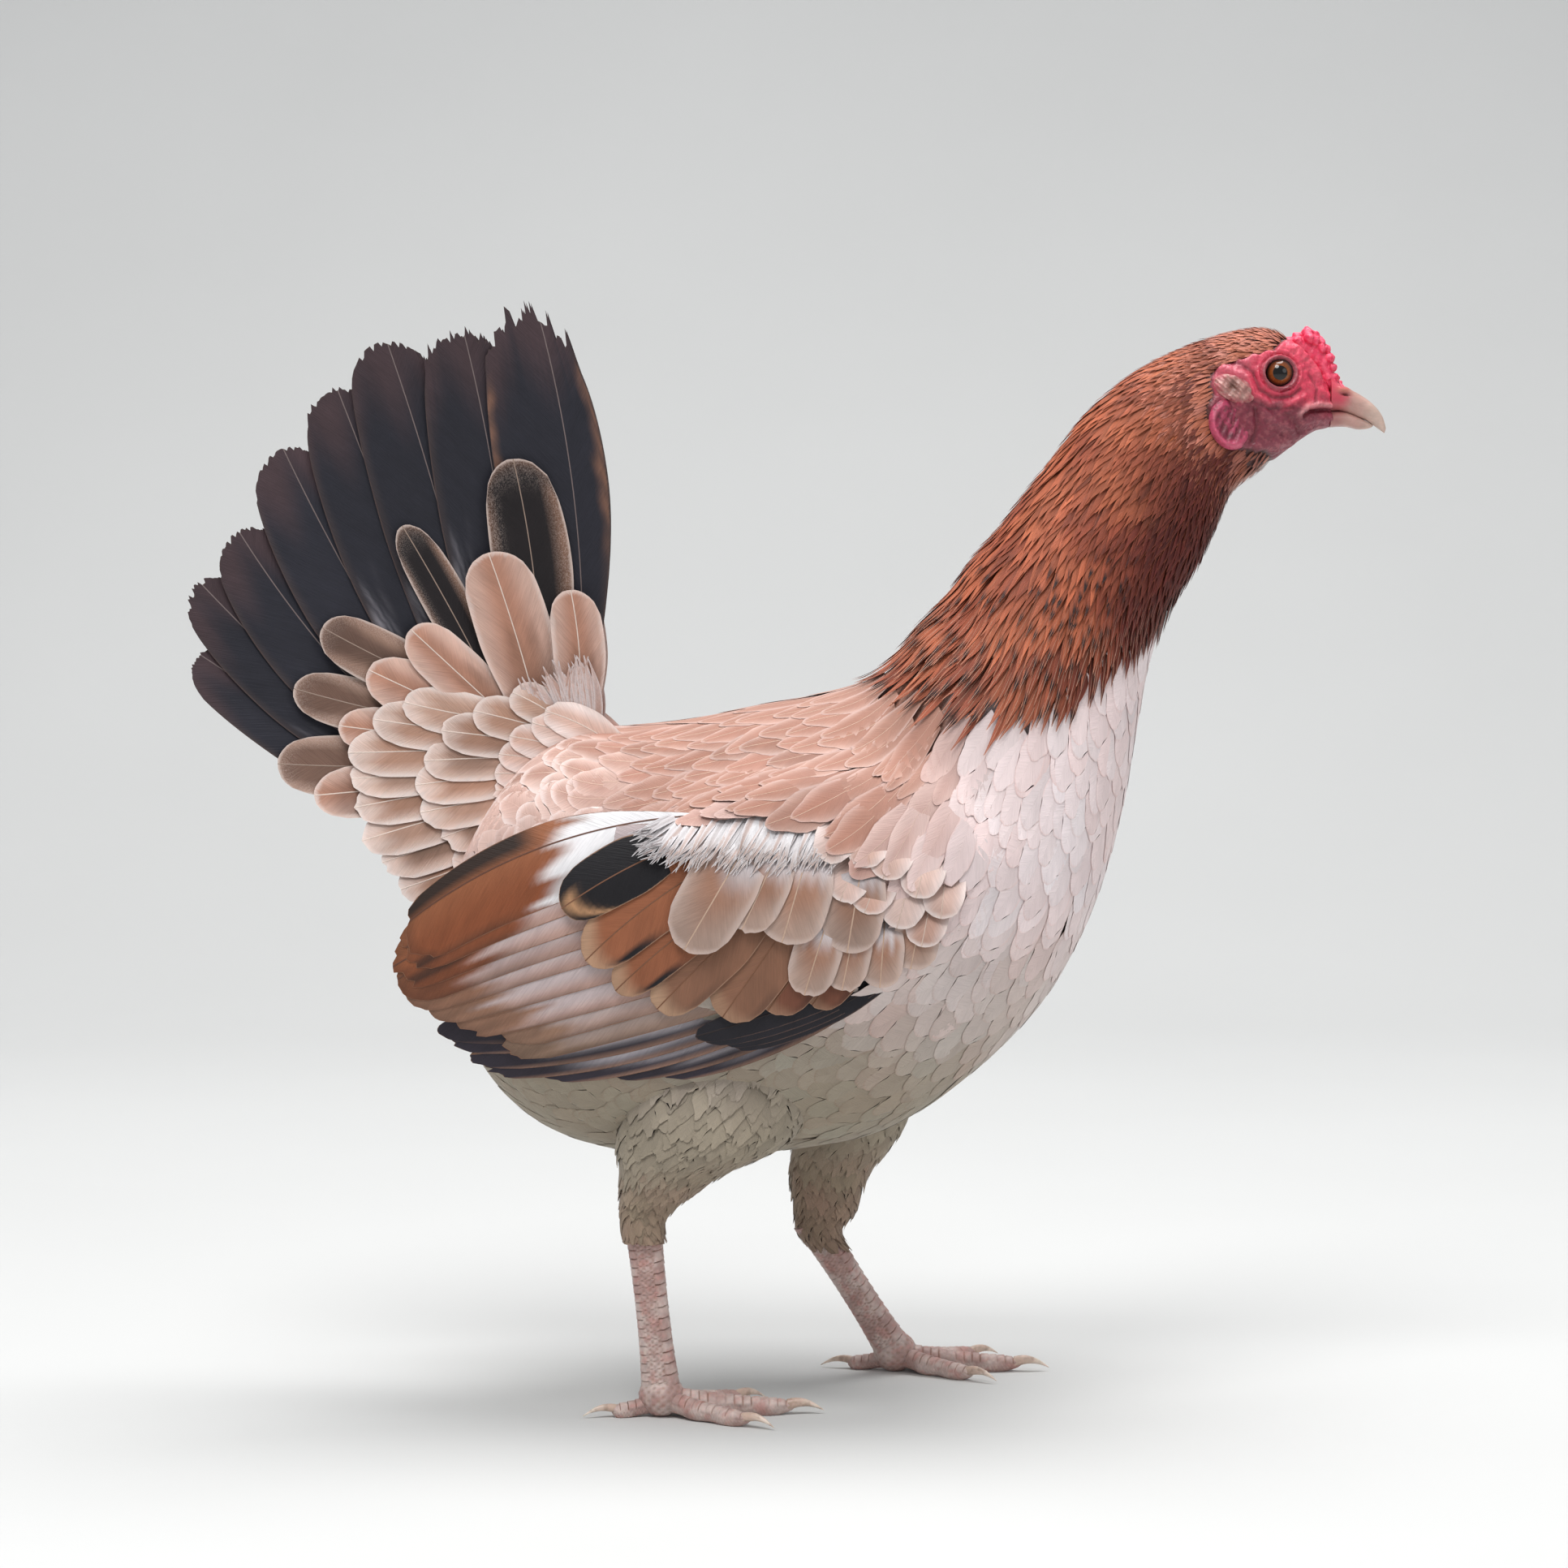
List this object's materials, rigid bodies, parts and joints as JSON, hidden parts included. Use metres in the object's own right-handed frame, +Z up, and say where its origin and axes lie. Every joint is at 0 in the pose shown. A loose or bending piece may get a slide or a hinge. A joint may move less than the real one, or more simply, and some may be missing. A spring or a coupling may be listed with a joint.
{
  "type": "gamefowl hen",
  "caption": "Still, life-size standing hen of an old gamefowl kind, in mid step, with a raised fanned tail, long neck hackles and a low pea comb.",
  "frame": {"origin": "on the floor, under the middle of the bird's box", "axes": "+X the way the beak points, +Z up, the bird's right side towards -Y"},
  "size_m": [0.4527, 0.1588, 0.4245],
  "materials": {
    "body_plumage": "cream, pale pink and salmon body feathers",
    "hackle_plumage": "rust red hackle feathers with black and cream shaft marks",
    "wing_plumage": "buff pink coverts over rust brown and grey black flight feathers",
    "tail_plumage": "slate black tail feathers with pale shafts and buff rims",
    "face_skin": "bare pink red skin of the face and comb",
    "lobe_skin": "cream and pink lobe skin",
    "leg_scale": "pinkish white scales",
    "beak_horn": "satin pale horn",
    "claw_horn": "satin horn",
    "eye": "wet orange iris with a black pupil"
  },
  "bodies": {
    "root": {"torso": "body_plumage", "neck": "hackle_plumage", "head": "face_skin", "beak_upper": "beak_horn", "beak_lower": "beak_horn", "comb": "face_skin", "wattle_right": "face_skin", "wattle_left": "face_skin", "earlobe_right": "lobe_skin", "earlobe_left": "lobe_skin", "eye_right": "eye", "eye_left": "eye", "wing_right": "wing_plumage", "wing_left": "wing_plumage", "tail": "tail_plumage", "thigh_right": "body_plumage", "thigh_left": "body_plumage", "shank_right": "leg_scale", "shank_left": "leg_scale", "toe_right_middle": "leg_scale", "toe_right_inner": "leg_scale", "toe_right_outer": "leg_scale", "toe_right_hind": "leg_scale", "toe_left_middle": "leg_scale", "toe_left_inner": "leg_scale", "toe_left_outer": "leg_scale", "toe_left_hind": "leg_scale", "claw_right_middle": "claw_horn", "claw_right_inner": "claw_horn", "claw_right_outer": "claw_horn", "claw_right_hind": "claw_horn", "claw_left_middle": "claw_horn", "claw_left_inner": "claw_horn", "claw_left_outer": "claw_horn", "claw_left_hind": "claw_horn"}
  },
  "joints": []
}
